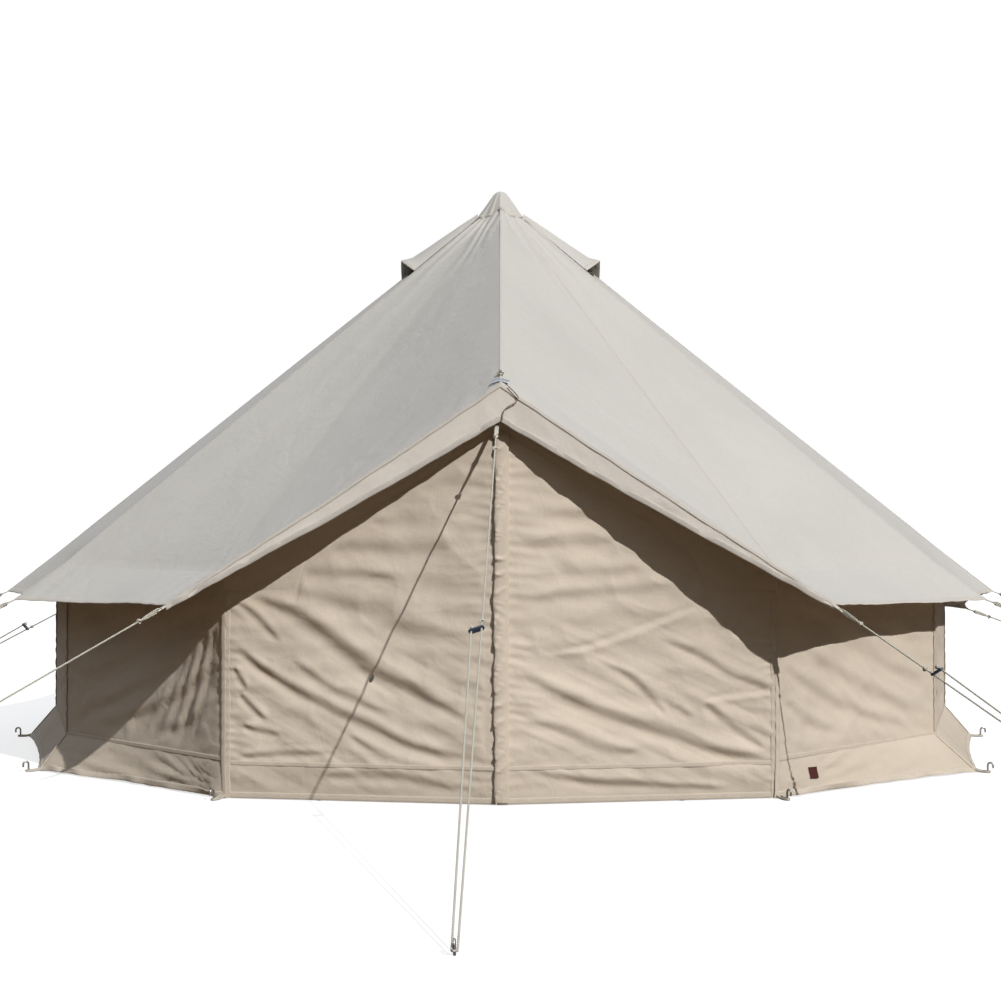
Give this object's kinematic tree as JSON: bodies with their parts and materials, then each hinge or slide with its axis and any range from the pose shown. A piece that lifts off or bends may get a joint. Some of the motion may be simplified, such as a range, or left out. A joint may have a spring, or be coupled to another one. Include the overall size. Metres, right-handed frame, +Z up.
{
  "type": "bell tent",
  "caption": "Round canvas tent with a cone roof on a centre pole, low vertical walls, an A-frame door with swinging flaps and guy ropes tensioned by sliding runners.",
  "frame": {"origin": "on the ground under the centre pole, on the underside of the pole's foot", "axes": "+Z up along the centre pole, -Y out through the door, +X to the right as one faces the door"},
  "size_m": [7.719, 7.7468, 2.616],
  "materials": {
    "pole_steel": "plain steel tube, satin",
    "pole_plastic": "moulded black plastic",
    "roof_canvas": "heavy plain-weave cotton, matte",
    "wall_canvas": "plain-weave cotton, matte",
    "mesh": "fine insect netting",
    "tag": "woven tag, satin",
    "zip_tape": "woven tape with moulded teeth",
    "slider_metal": "dark painted",
    "webbing": "cotton webbing",
    "peg_steel": "plain steel wire",
    "rope": "braided rope",
    "runner_metal": "dark blue-grey coating"
  },
  "bodies": {
    "tent": {"centre_pole_lower": "pole_steel", "centre_pole_upper": "pole_steel", "centre_pole_foot": "pole_plastic", "centre_pole_cap": "pole_plastic", "door_frame_leg_left": "pole_steel", "door_frame_leg_right": "pole_steel", "door_frame_bracket": "pole_steel", "door_frame_feet": "pole_plastic", "apex_cap": "roof_canvas", "skirt_band": "roof_canvas", "door_header": "wall_canvas", "door_valance": "roof_canvas", "vent_hoods": "roof_canvas", "vent_mesh": "mesh", "maker_tag": "tag", "eave_tabs": "webbing", "hem_loops": "webbing", "roof_panel_1": "roof_canvas", "roof_panel_2": "roof_canvas", "roof_panel_3": "roof_canvas", "roof_panel_4": "roof_canvas", "roof_panel_5": "roof_canvas", "roof_panel_6": "roof_canvas", "wall_panel_1": "wall_canvas", "wall_panel_2": "wall_canvas", "wall_panel_3": "wall_canvas", "wall_panel_4": "wall_canvas", "wall_panel_5": "wall_canvas", "guy_rope_1": "rope", "guy_rope_2": "rope", "guy_rope_3": "rope", "guy_rope_4": "rope", "guy_rope_5": "rope", "guy_rope_6": "rope", "guy_rope_7": "rope", "guy_rope_8": "rope", "guy_rope_9": "rope", "guy_rope_10": "rope", "guy_rope_11": "rope", "guy_rope_12": "rope"},
    "flap_left": {"door_flap_left": "wall_canvas", "zip_tape_left": "zip_tape"},
    "flap_right": {"door_flap_right": "wall_canvas", "storm_strip": "roof_canvas", "zip_tape_right": "zip_tape"},
    "slider": {"zip_slider": "slider_metal"},
    "hem_pegs": {"hem_pegs": "peg_steel"},
    "guy_pegs": {"guy_pegs": "peg_steel"},
    "guy_runner_1": {"guy_runner_1": "runner_metal"},
    "guy_runner_2": {"guy_runner_2": "runner_metal"},
    "guy_runner_3": {"guy_runner_3": "runner_metal"},
    "guy_runner_4": {"guy_runner_4": "runner_metal"},
    "guy_runner_5": {"guy_runner_5": "runner_metal"},
    "guy_runner_6": {"guy_runner_6": "runner_metal"},
    "guy_runner_7": {"guy_runner_7": "runner_metal"},
    "guy_runner_8": {"guy_runner_8": "runner_metal"},
    "guy_runner_9": {"guy_runner_9": "runner_metal"},
    "guy_runner_10": {"guy_runner_10": "runner_metal"},
    "guy_runner_11": {"guy_runner_11": "runner_metal"},
    "guy_runner_12": {"guy_runner_12": "runner_metal"}
  },
  "joints": [
    {"name": "left_flap_swing", "type": "hinge", "parent": "tent", "child": "flap_left", "pos_m": [-0.985, -1.70607, 0.5], "axis": [0, 0, -1], "range_deg": [0, 85]},
    {"name": "right_flap_swing", "type": "hinge", "parent": "tent", "child": "flap_right", "pos_m": [0.985, -1.70607, 0.5], "axis": [0, 0, 1], "range_deg": [0, 85]},
    {"name": "zip_slide", "type": "slide", "parent": "flap_right", "child": "slider", "axis": [0, 0, 1], "range_m": [0, 1.2]},
    {"name": "hem_pegs_pull", "type": "slide", "parent": "tent", "child": "hem_pegs", "axis": [0, 0, 1], "range_m": [0, 0.25]},
    {"name": "guy_pegs_pull", "type": "slide", "parent": "tent", "child": "guy_pegs", "axis": [0, 0, 1], "range_m": [0, 0.25]},
    {"name": "runner_1_slide", "type": "slide", "parent": "tent", "child": "guy_runner_1", "axis": [0.0357, 0.8494, 0.5265], "range_m": [0, 0.12]},
    {"name": "runner_2_slide", "type": "slide", "parent": "tent", "child": "guy_runner_2", "axis": [-0.6296, 0.6148, 0.475], "range_m": [0, 0.12]},
    {"name": "runner_3_slide", "type": "slide", "parent": "tent", "child": "guy_runner_3", "axis": [-0.8166, 0.4755, 0.3272], "range_m": [0, 0.12]},
    {"name": "runner_4_slide", "type": "slide", "parent": "tent", "child": "guy_runner_4", "axis": [-0.9434, 0.0037, 0.3317], "range_m": [0, 0.12]},
    {"name": "runner_5_slide", "type": "slide", "parent": "tent", "child": "guy_runner_5", "axis": [-0.8944, -0.3209, 0.3114], "range_m": [0, 0.12]},
    {"name": "runner_6_slide", "type": "slide", "parent": "tent", "child": "guy_runner_6", "axis": [-0.4639, -0.7947, 0.3914], "range_m": [0, 0.12]},
    {"name": "runner_7_slide", "type": "slide", "parent": "tent", "child": "guy_runner_7", "axis": [-0.0044, -0.9202, 0.3914], "range_m": [0, 0.12]},
    {"name": "runner_8_slide", "type": "slide", "parent": "tent", "child": "guy_runner_8", "axis": [0.4563, -0.7991, 0.3914], "range_m": [0, 0.12]},
    {"name": "runner_9_slide", "type": "slide", "parent": "tent", "child": "guy_runner_9", "axis": [0.7947, -0.4639, 0.3914], "range_m": [0, 0.12]},
    {"name": "runner_10_slide", "type": "slide", "parent": "tent", "child": "guy_runner_10", "axis": [0.9213, -0.0044, 0.3888], "range_m": [0, 0.12]},
    {"name": "runner_11_slide", "type": "slide", "parent": "tent", "child": "guy_runner_11", "axis": [0.7952, 0.4541, 0.4017], "range_m": [0, 0.12]},
    {"name": "runner_12_slide", "type": "slide", "parent": "tent", "child": "guy_runner_12", "axis": [0.6606, 0.6321, 0.405], "range_m": [0, 0.12]}
  ]
}
